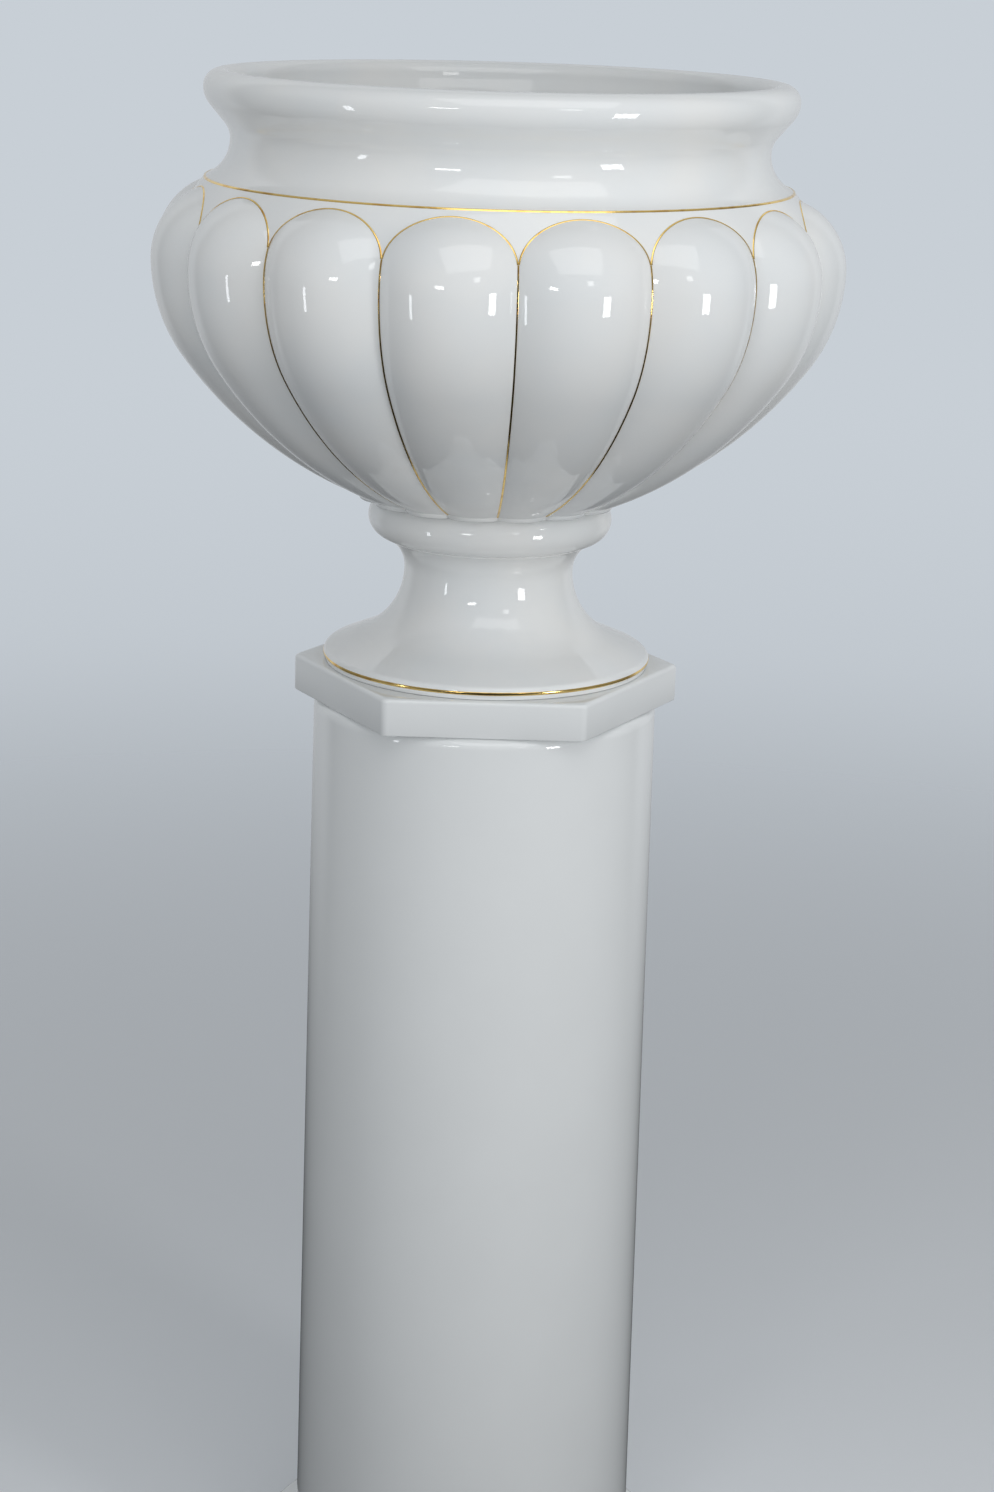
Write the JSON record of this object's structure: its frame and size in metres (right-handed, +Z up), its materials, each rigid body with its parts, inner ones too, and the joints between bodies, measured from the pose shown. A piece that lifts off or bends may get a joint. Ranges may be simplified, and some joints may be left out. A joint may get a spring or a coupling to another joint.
{
  "type": "jardiniere on stand",
  "caption": "Footed gadrooned planter bowl in white glazed ceramic with gilded lines, lifting off a round ceramic column with a hexagonal cap and plinth.",
  "frame": {"origin": "on the floor, under the middle of the plinth", "axes": "+Z up along the common axis of the column and the bowl, -Y towards the front flat of the hexagonal cap"},
  "size_m": [0.4518, 0.4518, 1.088],
  "materials": {
    "pedestal_glaze": "clear glaze over white earthenware",
    "bowl_glaze": "clear glaze over white earthenware",
    "gilding": "fired gold lustre"
  },
  "bodies": {
    "pedestal": {"plinth": "pedestal_glaze", "column": "pedestal_glaze", "cap": "pedestal_glaze"},
    "jardiniere": {"foot": "bowl_glaze", "bowl": "bowl_glaze", "shoulder_gilt_line": "gilding", "lobe_gilt_lines": "gilding", "foot_gilt_line": "gilding"}
  },
  "joints": [
    {"name": "jardiniere_lift", "type": "slide", "parent": "pedestal", "child": "jardiniere", "axis": [0, 0, 1], "range_m": [0, 0.2]}
  ]
}
